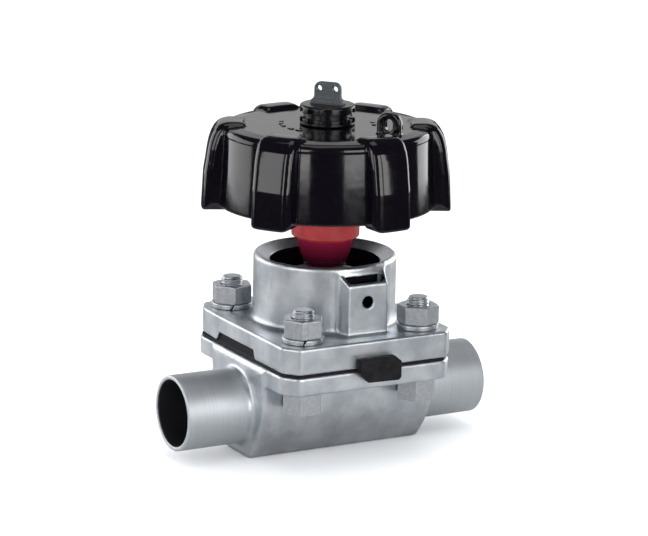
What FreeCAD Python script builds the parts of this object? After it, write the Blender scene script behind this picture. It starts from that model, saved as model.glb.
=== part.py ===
import FreeCAD, Part
import math
import os

# Weir-type diaphragm valve with a handwheel, in millimetres.
# +X runs along the pipe, +Z up the spindle, and the origin is the middle of the body's flat base.

# Body and pipe ends
face_to_face = 120.0
tube_radius = 13.45
tube_wall = 1.6
pipe_axis_z = 17.5
block_half_length = 34.6
block_half_width = 19.8
base_half_width = 9.1
shoulder_half_width = 17.0
shoulder_z = 9.2
wall_foot_z = 16.5
neck_fillet = 1.4

# Flanged joint
body_flange_z = 28.8
joint_z = 35.5
body_flange_half_x = 33.8
body_flange_half_y = 36.4
flange_chamfer_x = 4.4
flange_chamfer_y = 5.3
rubber_edge = 1.1
bonnet_flange_thickness = 9.5
bonnet_flange_half_x = 33.7
bonnet_flange_half_y = 36.8
bolt_x = 23.0
bolt_y = 27.0
bolt_radius = 4.0
bolt_hole_radius = 4.5
bolt_across_flats = 13.0
bolt_head_height = 8.2
spring_washer_radius = 7.4
spring_washer_height = 2.0
nut_height = 6.5

# Bowl, weir and diaphragm
bowl_radius = 21.5
bowl_throat_radius = 17.2
bowl_floor_lift = 0.3
weir_depth = 6.7
weir_half_crest = 2.4
weir_half_foot = 7.5
rubber = 2.5
rubber_inset = 0.5
bead_radius = 26.0
bead_height = 3.0
front_tab_face_y = -40.6
front_tab_thickness = 3.6
side_tab_proud = 0.9

# Bonnet
bonnet_radius = 25.4
bonnet_top_z = 70.1
bonnet_lip = 1.2
bonnet_foot_fillet = 1.5
chamber_radius = 19.3
chamber_top_z = 50.5
guide_half_width = 4.3
guide_reach = 20.8
cap_radius = 18.6
cap_seat_z = 62.5
cap_rim_z = 68.3
well_radius = 13.0
pocket_left_x = -6.1
pocket_right_x = 9.3
pocket_face_y = -29.0
pocket_back_y = -20.0
pocket_front_top_z = 63.4
pocket_back_top_z = 70.3
pocket_flare = 2.9
pocket_wall = 1.2
pocket_floor_z = 50.0
eye_radius = 2.1
eye_z = 57.9

# Bush in the bonnet
bush_radius = 11.0
bush_collar_radius = 13.6
bush_bottom_z = 48.5
bush_top_z = 57.0
outer_groove_z = 53.0
outer_groove_depth = 1.6
inner_groove_z = 51.2
inner_groove_depth = 1.3
groove_height = 2.0

# Spindle, compressor and indicator
spindle_radius = 6.0
running_gap = 0.05
loose_gap = 0.3
foot_radius = 8.0
neck_radius = 4.6
foot_z = 42.4
neck_z = 44.0
neck_top_z = 46.6
thrust_disc_space = 0.9
spindle_end_radius = 4.0
spindle_top_z = 114.4
socket_floor_z = 106.0
compressor_bottom_z = 39.8
compressor_top_z = 48.2
compressor_radius = 18.5
compressor_hub_radius = 10.8
finger_count = 8
finger_half_width = 1.6
key_reach = 20.4
pin_radius = 1.2
pin_half_length = 12.0
stud_radius = 2.5
stud_head_radius = 4.5
stud_head_height = 0.6
sleeve_radius = 12.1
sleeve_z = 76.1
nose_tip_radius = 7.5
nose_tip_z = 65.7

# Handwheel
grip_angle = -85.9
grip_half_width = 7.7
grip_radius = 44.2
panel_radius = 38.4
wheel_wall = 2.4
washer_thickness = 0.6
wheel_wide_z = 87.5
grip_bottom_z = 86.0
disc_z = 116.2
disc_thickness = 2.6
hub_radius = 11.5
hub_bottom_z = 92.0
rib_half_thickness = 1.1
rib_depth = 9.0
insert_low_z = 100.0
insert_high_z = 110.0
insert_across_flats = 16.0
drive_across_flats = 11.4
nut_recess_radius = 8.26
ear_width = 9.0
ear_thickness = 3.2
ear_height = 7.7
ear_slot_radius = 1.4
ear_place = (10.9, -25.1)

# Limiter knob and its seal tab
knob_radius = 9.8
knob_plug_radius = 8.2
knob_top_z = 123.4
knob_teeth = 10
knob_turn = -120.0
tooth_depth = 1.6
tooth_gap = 2.9
tab_angle = -50.0
tab_top_z = 131.1
tab_width = 10.4
tab_thickness = 2.6
tab_eye_offset = 3.0
tab_eye_radius = 1.1
seat_depth = 1.5
screw_radius = 2.1

bonnet_base_z = joint_z + rubber_edge
bonnet_deck_z = bonnet_base_z + bonnet_flange_thickness
pin_z = (neck_z + neck_top_z) / 2
bore_radius = tube_radius - tube_wall
end_x = face_to_face / 2

UP = FreeCAD.Vector(0, 0, 1)
ALONG_X = FreeCAD.Vector(1, 0, 0)
ALONG_Y = FreeCAD.Vector(0, 1, 0)
ORIGIN = FreeCAD.Vector(0, 0, 0)


def cylinder(radius, low, high, x=0.0, y=0.0):
    return Part.makeCylinder(radius, high - low, FreeCAD.Vector(x, y, low))


def rod_along(direction, radius, start, length):
    return Part.makeCylinder(radius, length, start, direction)


def box(x0, x1, y0, y1, z0, z1):
    return Part.makeBox(x1 - x0, y1 - y0, z1 - z0, FreeCAD.Vector(x0, y0, z0))


def turned(points):
    """A solid of revolution about the spindle from (radius, z) points."""
    corners = [FreeCAD.Vector(r, 0, z) for r, z in points]
    wire = Part.makePolygon(corners + corners[:1])
    return Part.Face(wire).revolve(ORIGIN, UP, 360)


def prism(points, low, high):
    corners = [FreeCAD.Vector(x, y, low) for x, y in points]
    wire = Part.makePolygon(corners + corners[:1])
    return Part.Face(wire).extrude(FreeCAD.Vector(0, 0, high - low))


def hexagon(across_flats, low, high, x=0.0, y=0.0, turn=0.0):
    corner = across_flats / math.sqrt(3)
    angles = [math.radians(60 * k + turn) for k in range(6)]
    return prism([(x + corner * math.cos(a), y + corner * math.sin(a)) for a in angles], low, high)


def hex_piece(across_flats, low, high, x, y, turn, rounded_ends):
    """A hexagon whose corners are turned off at one or both ends."""
    body = hexagon(across_flats, low, high, x, y, turn)
    corner = across_flats / math.sqrt(3) + 0.1
    flat = across_flats / 2 * 0.97
    drop = (corner - flat) * 0.5
    profile = [(0, low), (corner, low), (corner, high), (0, high)]
    if "top" in rounded_ends:
        profile[2:3] = [(corner, high - drop), (flat, high)]
    if "bottom" in rounded_ends:
        profile[1:2] = [(flat, low), (corner, low + drop)]
    envelope = turned(profile)
    envelope.translate(FreeCAD.Vector(x, y, 0))
    return body.common(envelope)


def turn_about_spindle(shape, degrees):
    copy = shape.copy()
    copy.rotate(ORIGIN, UP, degrees)
    return copy


def bolt_places():
    return [(sx * bolt_x, sy * bolt_y) for sx in (-1, 1) for sy in (-1, 1)]


def fuse_all(shapes):
    return shapes[0].multiFuse(shapes[1:]).removeSplitter()


def export(shape, name):
    shape.exportStep("parts/" + name + ".step")


def export_group(shapes, name):
    export(Part.makeCompound(shapes), name)


# ---------------------------------------------------------------- body

def chamfered_plate(half_x, half_y, low, high):
    """A rectangle with its four corners cut off, extruded upward."""
    corner = [(half_x, half_y - flange_chamfer_y), (half_x - flange_chamfer_x, half_y)]
    back = corner + [(-x, y) for x, y in reversed(corner)]
    return prism(back + [(x, -y) for x, y in reversed(back)], low, high)


def body_block():
    """The forging: straight walls, a rounded shoulder and a sloping keel down to the flat base."""
    v = FreeCAD.Vector
    x = -block_half_length
    top = joint_z
    wall_foot = v(x, block_half_width, wall_foot_z)
    shoulder = v(x, shoulder_half_width, shoulder_z)
    bulge = v(x, (block_half_width + shoulder_half_width) / 2 + 0.45, (wall_foot_z + shoulder_z) / 2)

    def mirrored(p):
        return v(p.x, -p.y, p.z)

    edges = [
        Part.makeLine(v(x, block_half_width, top), wall_foot),
        Part.Arc(wall_foot, bulge, shoulder).toShape(),
        Part.makeLine(shoulder, v(x, base_half_width, 0)),
        Part.makeLine(v(x, base_half_width, 0), v(x, -base_half_width, 0)),
        Part.makeLine(v(x, -base_half_width, 0), mirrored(shoulder)),
        Part.Arc(mirrored(shoulder), mirrored(bulge), mirrored(wall_foot)).toShape(),
        Part.makeLine(mirrored(wall_foot), v(x, -block_half_width, top)),
        Part.makeLine(v(x, -block_half_width, top), v(x, block_half_width, top)),
    ]
    section = Part.Face(Part.Wire(edges))
    return section.extrude(FreeCAD.Vector(2 * block_half_length, 0, 0))


def neck_ring(side):
    """The concave fillet where a pipe end leaves the block."""
    v = FreeCAD.Vector
    root = tube_radius
    face = block_half_length
    outer = v(face, 0, root + neck_fillet)
    tip = v(face + neck_fillet, 0, root)
    middle = v(face + neck_fillet * 0.293, 0, root + neck_fillet * 0.293)
    inside_tip = v(face + neck_fillet, 0, root - 1)
    inside_face = v(face, 0, root - 1)
    wire = Part.Wire([
        Part.Arc(outer, middle, tip).toShape(),
        Part.makeLine(tip, inside_tip),
        Part.makeLine(inside_tip, inside_face),
        Part.makeLine(inside_face, outer),
    ])
    ring = Part.Face(wire).revolve(ORIGIN, ALONG_X, 360)
    if side < 0:
        ring.rotate(ORIGIN, UP, 180)
    ring.translate(FreeCAD.Vector(0, 0, pipe_axis_z))
    return ring


def saddle_radius():
    return (bowl_radius ** 2 + weir_depth ** 2) / (2 * weir_depth)


def weir():
    """The dam between inlet and outlet, with a crest that dips in the middle."""
    crest_z = joint_z - weir_depth
    v = FreeCAD.Vector
    half = bowl_radius + 1
    points = [
        v(-weir_half_foot, -half, 0),
        v(weir_half_foot, -half, 0),
        v(weir_half_crest, -half, joint_z),
        v(-weir_half_crest, -half, joint_z),
    ]
    dam = Part.Face(Part.makePolygon(points + points[:1])).extrude(v(0, 2 * half, 0))
    radius = saddle_radius()
    start = v(-weir_half_foot - 1, 0, crest_z + radius)
    dip = rod_along(ALONG_X, radius, start, 2 * weir_half_foot + 2)
    return dam.cut(dip)


def passage():
    """The space the fluid runs through: a bore from each end and the bowl under the diaphragm."""
    floor_z = pipe_axis_z - bore_radius + bowl_floor_lift
    bowl = turned([
        (0, floor_z),
        (8.5, floor_z + 1.2),
        (12.5, floor_z + 5.0),
        (15.6, pipe_axis_z + 1),
        (bowl_throat_radius, body_flange_z + 0.7),
        (bowl_radius, joint_z),
        (bowl_radius, joint_z + 1),
        (0, joint_z + 1),
    ])
    start = FreeCAD.Vector(-end_x - 1, 0, pipe_axis_z)
    bore = rod_along(ALONG_X, bore_radius, start, face_to_face + 2)
    return bowl.fuse(bore).cut(weir())


def valve_body():
    start = FreeCAD.Vector(-end_x, 0, pipe_axis_z)
    tube = rod_along(ALONG_X, tube_radius, start, face_to_face)
    plate = chamfered_plate(body_flange_half_x, body_flange_half_y, body_flange_z, joint_z)
    solid = fuse_all([body_block(), tube, plate, neck_ring(1), neck_ring(-1)])
    for x, y in bolt_places():
        solid = solid.cut(cylinder(bolt_hole_radius, body_flange_z - 1, joint_z + 1, x, y))
    return solid.cut(passage())


# ---------------------------------------------------------------- diaphragm

# (x, z) corners of the rubber marking tab in front, and (y, height) corners of the notches at the sides
front_tab = [(-7.1, 40.6), (-7.1, 35.6), (-3.7, 32.1), (8.3, 31.8), (9.3, 32.8), (9.3, 38.6), (6.8, 40.7)]
side_notch = [(-11.4, 0.0), (-10.0, 3.4), (16.6, 3.4), (19.4, 0.0)]
notch_depth = 3.5


def side_outline(side, shrink, x, foot):
    """The long low trapezium of a side notch, drawn at x on the left (-1) or right (+1)."""
    points = []
    for y, height in side_notch:
        inset = shrink if y > 0 else -shrink
        level = height - shrink if height > 0 else foot
        points.append(FreeCAD.Vector(side * x, -side * (y - inset), bonnet_base_z + level))
    return Part.Face(Part.makePolygon(points + points[:1]))


def membrane():
    """The domed middle of the rubber, arched up clear of the weir."""
    low = joint_z
    top = joint_z + rubber
    return turned([
        (0, low + 1.5),
        (8.0, low + 1.5),
        (12.0, low + 2.6),
        (16.0, low + 2.4),
        (19.6, low),
        (22.0, low),
        (22.0, low + bead_height),
        (19.2, low + bead_height),
        (17.0, top + 2.5),
        (12.0, top + 2.3),
        (8.0, top + 1.4),
        (0, top + 1.4),
    ])


def diaphragm():
    """The rubber disc: a clamped edge with a bead, a domed middle and two marking tabs."""
    plate = chamfered_plate(body_flange_half_x - rubber_inset, body_flange_half_y - rubber_inset,
                            joint_z, bonnet_base_z)
    for x, y in bolt_places():
        plate = plate.cut(cylinder(bolt_hole_radius + loose_gap, joint_z - 1, joint_z + 3, x, y))
    bead = cylinder(bead_radius, joint_z, joint_z + bead_height)
    opening = cylinder(21.0, joint_z - 1, joint_z + bead_height + 1)
    clamped = plate.fuse(bead).cut(opening)
    tongue = box(-6.0, 8.0, front_tab_face_y + front_tab_thickness - 1, -body_flange_half_y + 3,
                 joint_z, bonnet_base_z)
    corners = [FreeCAD.Vector(x, front_tab_face_y, z) for x, z in front_tab]
    tab = Part.Face(Part.makePolygon(corners + corners[:1])).extrude(ALONG_Y * front_tab_thickness)
    side_face = side_outline(-1, 0.5, bonnet_flange_half_x - side_tab_proud, -rubber_edge)
    side_tab = side_face.extrude(ALONG_X * (side_tab_proud + 1))
    return fuse_all([clamped, membrane(), tongue, tab, side_tab])


def diaphragm_stud():
    """The metal stud that hangs the rubber from the compressor."""
    low = joint_z + rubber + 1.4
    head = cylinder(stud_head_radius, low, low + stud_head_height)
    shank = cylinder(stud_radius, low, low + 1.4)
    return head.fuse(shank)


# ---------------------------------------------------------------- bonnet

def bonnet_plate():
    """The cover flange: nearly square with chamfered corners, its sides eased towards the back."""
    x, y = bonnet_flange_half_x, bonnet_flange_half_y
    back = [(x, 21.4), (x - 0.8, y - 6.2), (x - flange_chamfer_x, y)]
    inner_x, inner_y = x - flange_chamfer_x, y - flange_chamfer_y
    front = [(-x, -inner_y), (-inner_x, -y), (inner_x, -y), (x, -inner_y)]
    outline = back + [(-px, py) for px, py in reversed(back)] + front
    plate = prism(outline, bonnet_base_z, bonnet_deck_z)
    rim = [e for e in plate.Edges if abs(e.BoundBox.ZMin - bonnet_deck_z) < 0.01]
    return plate.makeChamfer(0.6, rim)


def pocket_box():
    """The upright pocket cast on the front of the bonnet, wider where it meets the barrel."""
    plan = [
        (pocket_left_x, pocket_face_y),
        (pocket_right_x, pocket_face_y),
        (pocket_right_x + pocket_flare, pocket_back_y),
        (pocket_left_x - pocket_flare, pocket_back_y),
    ]
    solid = prism(plan, bonnet_deck_z - 0.5, pocket_back_top_z)
    v = FreeCAD.Vector
    front = pocket_face_y - 1
    slope = [
        v(-20, front, pocket_front_top_z),
        v(-20, pocket_back_y + 1, pocket_back_top_z),
        v(-20, front, 80),
    ]
    above = Part.Face(Part.makePolygon(slope + slope[:1])).extrude(ALONG_X * 40)
    return solid.cut(above)


def pocket_space():
    """The slot inside the pocket and the round eye through its face."""
    left = pocket_left_x + pocket_wall
    right = pocket_right_x - pocket_wall
    depth_y = pocket_face_y + 6.8
    plan = [(left, pocket_face_y + pocket_wall), (right, pocket_face_y + pocket_wall),
            (right + 1.6, depth_y), (left - 1.6, depth_y)]
    space = prism(plan, pocket_floor_z, 66.6)
    middle = (left + right) / 2
    eye = rod_along(ALONG_Y, eye_radius, FreeCAD.Vector(middle, pocket_face_y - 1, eye_z), 4)
    return space.fuse(eye)


def bonnet_barrel():
    """The round barrel with a fillet at its foot and a rolled top edge."""
    r = bonnet_radius
    fillet = bonnet_foot_fillet
    foot = []
    for k in range(6, -1, -1):
        a = math.radians(15 * k)
        foot.append((r + fillet * (1 - math.cos(a)), bonnet_deck_z + fillet * (1 - math.sin(a))))
    top = bonnet_top_z
    crown = [(r, top - 1.3), (r - 0.35, top - 0.4), (r - bonnet_lip, top)]
    base = bonnet_base_z + 1
    return turned([(0, base), (r + fillet, base)] + foot + crown + [(0, top)])


def bonnet_inside():
    """The stepped space for rubber bead, compressor, bush, cap and sleeve."""
    bead_wall = bead_radius + loose_gap
    bead_top = joint_z + bead_height
    lip = bonnet_radius - bonnet_lip
    return turned([
        (0, bonnet_base_z - 1),
        (bead_wall, bonnet_base_z - 1),
        (bead_wall, bead_top),
        (chamber_radius, bead_top),
        (chamber_radius, chamber_top_z),
        (bush_radius, chamber_top_z),
        (bush_radius, bush_top_z),
        (well_radius, bush_top_z),
        (well_radius, cap_seat_z),
        (cap_radius, cap_seat_z),
        (cap_radius, cap_rim_z),
        (lip, bonnet_top_z),
        (lip, bonnet_top_z + 5),
        (0, bonnet_top_z + 5),
    ])


def bonnet():
    solid = fuse_all([bonnet_plate(), bonnet_barrel(), pocket_box()])
    solid = solid.cut(bonnet_inside()).cut(pocket_space())
    guide = box(-guide_half_width, guide_half_width, -guide_reach, guide_reach,
                bonnet_base_z - 1, chamber_top_z)
    solid = solid.cut(guide)
    for side in (-1, 1):
        outline = side_outline(side, 0, bonnet_flange_half_x + 1, -1)
        solid = solid.cut(outline.extrude(ALONG_X * (-side * (notch_depth + 1))))
    for x, y in bolt_places():
        solid = solid.cut(cylinder(bolt_hole_radius, bonnet_base_z - 1, bonnet_deck_z + 1, x, y))
    return solid


def seal_cap():
    """The black dished ring that closes the top of the bonnet around the indicator sleeve."""
    outer = cap_radius - running_gap
    inner = well_radius - 0.3
    return turned([
        (well_radius, cap_seat_z),
        (outer, cap_seat_z),
        (outer, cap_rim_z),
        (outer - 1.0, cap_rim_z - 0.15),
        (inner + 1.1, cap_rim_z - 1.9),
        (inner, cap_rim_z - 2.6),
        (inner, cap_seat_z + 1.5),
        (well_radius, cap_seat_z + 1.2),
    ])


def spindle_bush():
    """The collared bush that guides the spindle, grooved outside and inside for seal rings."""
    bore = spindle_radius + running_gap
    outside = bush_radius - running_gap
    outer_floor = bush_radius - outer_groove_depth
    inner_floor = bore + inner_groove_depth
    return turned([
        (bore, bush_bottom_z),
        (bush_collar_radius, bush_bottom_z),
        (bush_collar_radius, chamber_top_z),
        (outside, chamber_top_z),
        (outside, outer_groove_z),
        (outer_floor, outer_groove_z),
        (outer_floor, outer_groove_z + groove_height),
        (outside, outer_groove_z + groove_height),
        (outside, bush_top_z),
        (bore, bush_top_z),
        (bore, inner_groove_z + groove_height),
        (inner_floor, inner_groove_z + groove_height),
        (inner_floor, inner_groove_z),
        (bore, inner_groove_z),
    ])


def seal_ring(middle_radius, section_radius, groove_z):
    """A rubber ring lying in the middle of a groove."""
    centre = FreeCAD.Vector(0, 0, groove_z + groove_height / 2)
    return Part.makeTorus(middle_radius, section_radius, centre, UP)


def bush_seal_ring():
    return seal_ring(bush_radius - 0.75, 0.7, outer_groove_z)


def spindle_seal_ring():
    return seal_ring(spindle_radius + running_gap + 0.65, 0.6, inner_groove_z)


# ---------------------------------------------------------------- fasteners

def cover_bolt(x, y):
    """A hexagon bolt from below, its head under the body flange."""
    head_low = body_flange_z - bolt_head_height
    tip = bonnet_deck_z + 11.4
    point = 0.8
    head = hex_piece(bolt_across_flats, head_low, body_flange_z, x, y, 0.0, "bottom")
    shank = cylinder(bolt_radius, body_flange_z - 0.1, tip - point, x, y)
    end = Part.makeCone(bolt_radius, bolt_radius - point, point, FreeCAD.Vector(x, y, tip - point))
    return fuse_all([head, shank, end])


def spring_washer(x, y):
    """A split spring washer with its slanting cut turned away from the barrel."""
    low = bonnet_deck_z
    high = low + spring_washer_height
    washer = cylinder(spring_washer_radius, low, high, x, y)
    washer = washer.cut(cylinder(bolt_radius + 0.15, low - 1, high + 1, x, y))
    split = box(x, x + 9, y - 0.35, y + 0.35, low - 1, high + 1)
    split.rotate(FreeCAD.Vector(x, y, low + 1), ALONG_X, 30)
    split.rotate(FreeCAD.Vector(x, y, low), UP, -115 if x < 0 else -60)
    return washer.cut(split)


def cover_nut(x, y, turn):
    low = bonnet_deck_z + spring_washer_height
    high = low + nut_height
    nut = hex_piece(bolt_across_flats, low, high, x, y, turn, "top bottom")
    return nut.cut(cylinder(bolt_radius + running_gap, low - 1, high + 1, x, y))


# ---------------------------------------------------------------- compressor and spindle

def compressor():
    """The fingered presser: a hub, a plate with radial fingers and a cross key for the guide slots."""
    low, high = compressor_bottom_z, compressor_top_z
    hub_radius_here = compressor_hub_radius
    finger_top = high - 2.2
    envelope = turned([
        (0, low),
        (8.0, low),
        (11.0, low + 1.4),
        (compressor_radius, low + 3.2),
        (compressor_radius, finger_top),
        (hub_radius_here, finger_top + 1.2),
        (hub_radius_here, high),
        (0, high),
    ])
    pieces = [cylinder(hub_radius_here, low, high), cylinder(15.0, low, finger_top)]
    half = guide_half_width - loose_gap
    pieces.append(box(-half, half, -compressor_radius, compressor_radius, low, finger_top))
    for k in range(finger_count):
        finger = box(0, compressor_radius, -finger_half_width, finger_half_width, low, finger_top)
        pieces.append(turn_about_spindle(finger, 360.0 / finger_count * (k + 0.5)))
    solid = fuse_all(pieces).common(envelope)
    key = box(-half, half, -key_reach, key_reach, low + 4.4, finger_top)
    solid = solid.fuse(key)
    foot_space = cylinder(foot_radius + 0.1, foot_z - thrust_disc_space, high + 1)
    stud_space = cylinder(stud_radius + running_gap, low - 1, low + 1.3)
    head_space = cylinder(stud_head_radius + 0.1, low - 1, low + 0.4)
    solid = solid.cut(foot_space).cut(stud_space).cut(head_space)
    for x in pin_places():
        start = FreeCAD.Vector(x, -pin_half_length - 1, pin_z)
        solid = solid.cut(rod_along(ALONG_Y, pin_radius + 0.02, start, 2 * pin_half_length + 2))
    return solid.removeSplitter()


def pin_places():
    offset = neck_radius + pin_radius + 0.1
    return (-offset, offset)


def compressor_pin(x):
    """A cross pin that keeps the spindle's foot in the compressor, beside the neck."""
    start = FreeCAD.Vector(x, -pin_half_length, pin_z)
    return rod_along(ALONG_Y, pin_radius, start, 2 * pin_half_length)


def thrust_disc():
    return cylinder(foot_radius - 0.5, foot_z - thrust_disc_space, foot_z - running_gap)


def spindle():
    """The spindle: foot, neck, stem, hexagon drive and a short threaded end for the wheel nut."""
    r = spindle_radius
    shaft = turned([
        (0, foot_z),
        (foot_radius, foot_z),
        (foot_radius, neck_z),
        (neck_radius, neck_z),
        (neck_radius, neck_top_z),
        (r, neck_top_z),
        (r, insert_low_z),
        (5.0, insert_low_z),
        (5.0, insert_high_z + 0.5),
        (spindle_end_radius, insert_high_z + 0.5),
        (spindle_end_radius, spindle_top_z),
        (0, spindle_top_z),
    ])
    drive = hexagon(drive_across_flats, insert_low_z, insert_high_z + 0.5)
    drive = drive.common(cylinder(r, insert_low_z, insert_high_z + 0.5))
    socket = cylinder(screw_radius + 0.07, socket_floor_z - 2, spindle_top_z + 1)
    return shaft.fuse(drive).cut(socket).removeSplitter()


def indicator_sleeve():
    """The red sleeve: a straight barrel over a tapering nose that dips into the cap."""
    bore = spindle_radius + 0.03
    top = hub_bottom_z - running_gap
    return turned([
        (bore, nose_tip_z),
        (nose_tip_radius, nose_tip_z),
        (sleeve_radius - 1.5, sleeve_z - 0.6),
        (sleeve_radius - 1.2, sleeve_z),
        (sleeve_radius - 0.4, sleeve_z),
        (sleeve_radius, sleeve_z + 0.4),
        (sleeve_radius, top),
        (bore, top),
    ])


# ---------------------------------------------------------------- handwheel

# (radius, z) outlines of the wheel between its grips and of one grip
panel_profile = [(30.0, disc_z), (35.2, disc_z - 0.35), (36.6, disc_z - 1.2), (37.1, disc_z - 3.0),
                 (panel_radius, wheel_wide_z)]
grip_profile = [(29.2, disc_z - 3), (29.2, disc_z + 0.7), (30.0, disc_z + 1.2), (35.0, disc_z + 1.4),
                (38.2, disc_z + 0.5), (40.1, disc_z - 1.2), (41.4, disc_z - 3.7), (42.3, disc_z - 8.0),
                (42.9, disc_z - 12.3), (43.6, disc_z - 16.7), (grip_radius, wheel_wide_z - 0.2),
                (grip_radius - 0.1, grip_bottom_z + 0.6), (grip_radius - 0.7, grip_bottom_z)]


def grip_slabs(half_width):
    """Three flat slabs crossing on the spindle, one for each pair of opposite grips."""
    slab = box(-60, 60, -half_width, half_width, grip_bottom_z - 6, disc_z + 9)
    slabs = [turn_about_spindle(slab, grip_angle + 60 * k) for k in range(3)]
    return slabs[0].multiFuse(slabs[1:])


def wheel_shell():
    """The hollow moulding: disc, skirt panels and six raised grips with an even wall."""
    w = wheel_wall
    under = disc_z - disc_thickness
    outside = turned([(0, wheel_wide_z), (0, disc_z)] + panel_profile)
    grips = turned(grip_profile + [(36.0, grip_bottom_z), (30.0, 100.0)])
    hollow = turned([
        (0, 80),
        (panel_radius - w, 80),
        (panel_radius - w, wheel_wide_z),
        (37.1 - w, under - 1.5),
        (36.0 - w, under),
        (0, under),
    ])
    grip_hollow = turned([
        (20, 80),
        (grip_radius - w, 80),
        (grip_radius - w, wheel_wide_z - 0.2),
        (42.9 - w, disc_z - 12.3),
        (41.8 - w, disc_z - 7.0),
        (39.8 - w, disc_z - 3.2),
        (36.5, under),
        (20, under),
    ])
    solid = outside.fuse(grips.common(grip_slabs(grip_half_width)))
    return solid.cut(hollow).cut(grip_hollow.common(grip_slabs(grip_half_width - w)))


def wheel_rib(k):
    under = disc_z - disc_thickness
    rib = box(hub_radius - 1, 36.0, -rib_half_thickness, rib_half_thickness, under - rib_depth, under + 1)
    return turn_about_spindle(rib, grip_angle + 30 + 60 * k)


def handwheel():
    """The wheel with its hub, six ribs under the disc and the seal-wire ear on top."""
    hub = cylinder(hub_radius, hub_bottom_z, disc_z - 1)
    ribs = [wheel_rib(k) for k in range(6)]
    solid = fuse_all([wheel_shell(), hub, seal_ear()] + ribs)
    shaft_hole = cylinder(spindle_radius + 0.03, hub_bottom_z - 1, disc_z)
    insert_hole = hexagon(insert_across_flats, insert_low_z, insert_high_z)
    nut_recess = cylinder(nut_recess_radius, insert_high_z, disc_z + 1)
    return solid.cut(shaft_hole).cut(insert_hole).cut(nut_recess).removeSplitter()


def upright_plate(width, thickness, low, high, corner):
    """A plate standing across Y=0 with its two top corners rounded."""
    plate = box(-width / 2, width / 2, -thickness / 2, thickness / 2, low, high)
    tops = []
    for e in plate.Edges:
        along_y = abs(e.tangentAt(e.FirstParameter).y) > 0.9
        if along_y and e.BoundBox.ZMin > high - 0.01:
            tops.append(e)
    return plate.makeFillet(corner, tops)


def seal_ear():
    """The slotted ear on the wheel's disc, for a seal wire."""
    r = ear_slot_radius
    slot_low = disc_z + 1.2
    slot_high = disc_z + ear_height - 2.2 - r
    plate = upright_plate(ear_width, ear_thickness, disc_z - 1, disc_z + ear_height, ear_width / 2 - 0.5)
    slot = box(-r, r, -ear_thickness, ear_thickness, slot_low, slot_high)
    start = FreeCAD.Vector(0, -ear_thickness, slot_high)
    ear = plate.cut(slot).cut(rod_along(ALONG_Y, r, start, 2 * ear_thickness))
    ear.rotate(ORIGIN, UP, tab_angle)
    ear.translate(FreeCAD.Vector(ear_place[0], ear_place[1], 0))
    return ear


def wheel_insert():
    """The metal hexagon insert that turns the wheel with the spindle."""
    low = insert_low_z + running_gap
    high = insert_high_z - running_gap
    drive_hole = hexagon(drive_across_flats + 0.1, low - 1, high + 1)
    drive_hole = drive_hole.common(cylinder(spindle_radius + running_gap, low - 1, high + 1))
    return hexagon(insert_across_flats - 0.1, low, high).cut(drive_hole)


def wheel_washer():
    low = insert_high_z + 0.55
    disc = cylinder(7.6, low, low + washer_thickness)
    return disc.cut(cylinder(spindle_end_radius + 0.1, low - 1, low + 2))


def wheel_nut():
    low = insert_high_z + 0.6 + washer_thickness
    high = low + 3.0
    nut = hex_piece(11.0, low, high, 0, 0, 10.0, "top")
    return nut.cut(cylinder(spindle_end_radius + running_gap, low - 1, high + 1))


# ---------------------------------------------------------------- limiter

def toothed_ring(low, high, core, tip):
    """A ring of square teeth around the knob."""
    gaps = []
    for k in range(knob_teeth):
        gap = box(core, tip + 1, -tooth_gap / 2, tooth_gap / 2, low - 0.1, high + 0.1)
        gaps.append(turn_about_spindle(gap, knob_turn + 360.0 / knob_teeth * k))
    return cylinder(tip, low, high).cut(Part.makeCompound(gaps))


def limiter_knob():
    """The knob that sets the closed stop: a plug in the wheel's recess under two rings of facing teeth."""
    low = disc_z + 0.1
    rim_high = low + 1.1
    cap_low = knob_top_z - 1.0
    core = knob_radius - tooth_depth
    body = turned([
        (0, disc_z - 1.4),
        (knob_plug_radius, disc_z - 1.4),
        (knob_plug_radius, low),
        (knob_radius - 0.2, low),
        (knob_radius, rim_high),
        (core, rim_high),
        (core, cap_low),
        (knob_radius, cap_low),
        (knob_radius - 0.9, knob_top_z),
        (0, knob_top_z),
    ])
    lower = toothed_ring(rim_high - 0.1, rim_high + 1.4, core - 0.4, knob_radius)
    upper = toothed_ring(cap_low - 1.8, cap_low + 0.1, core - 0.4, knob_radius)
    solid = fuse_all([body, lower, upper])
    half_width = tab_width / 2 + 0.8
    half_thickness = tab_thickness / 2 + 0.6
    seat_low = knob_top_z - seat_depth
    seat = box(-half_width, half_width, -half_thickness, half_thickness, seat_low, knob_top_z + 1)
    seat.rotate(ORIGIN, UP, tab_angle)
    screw_hole = cylinder(screw_radius + running_gap, disc_z - 3, seat_low - 0.1)
    return solid.cut(seat).cut(screw_hole)


def seal_tab():
    """The upright tab let into the knob, with two wire holes and a splayed foot."""
    foot_low = knob_top_z - seat_depth
    plate = upright_plate(tab_width, tab_thickness, foot_low, tab_top_z, 1.8)
    foot = upright_plate(tab_width + 1.5, tab_thickness + 1.1, foot_low, knob_top_z + 0.9, 0.5)
    tab = plate.fuse(foot)
    for x in (-tab_eye_offset, tab_eye_offset):
        start = FreeCAD.Vector(x, -tab_thickness, tab_top_z - 2.3)
        tab = tab.cut(rod_along(ALONG_Y, tab_eye_radius, start, 2 * tab_thickness))
    tab.rotate(ORIGIN, UP, tab_angle)
    return tab.removeSplitter()


def limiter_screw():
    """The stop screw from the knob down into the spindle's socket."""
    return cylinder(screw_radius, socket_floor_z, knob_top_z - seat_depth - 0.15)


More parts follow.
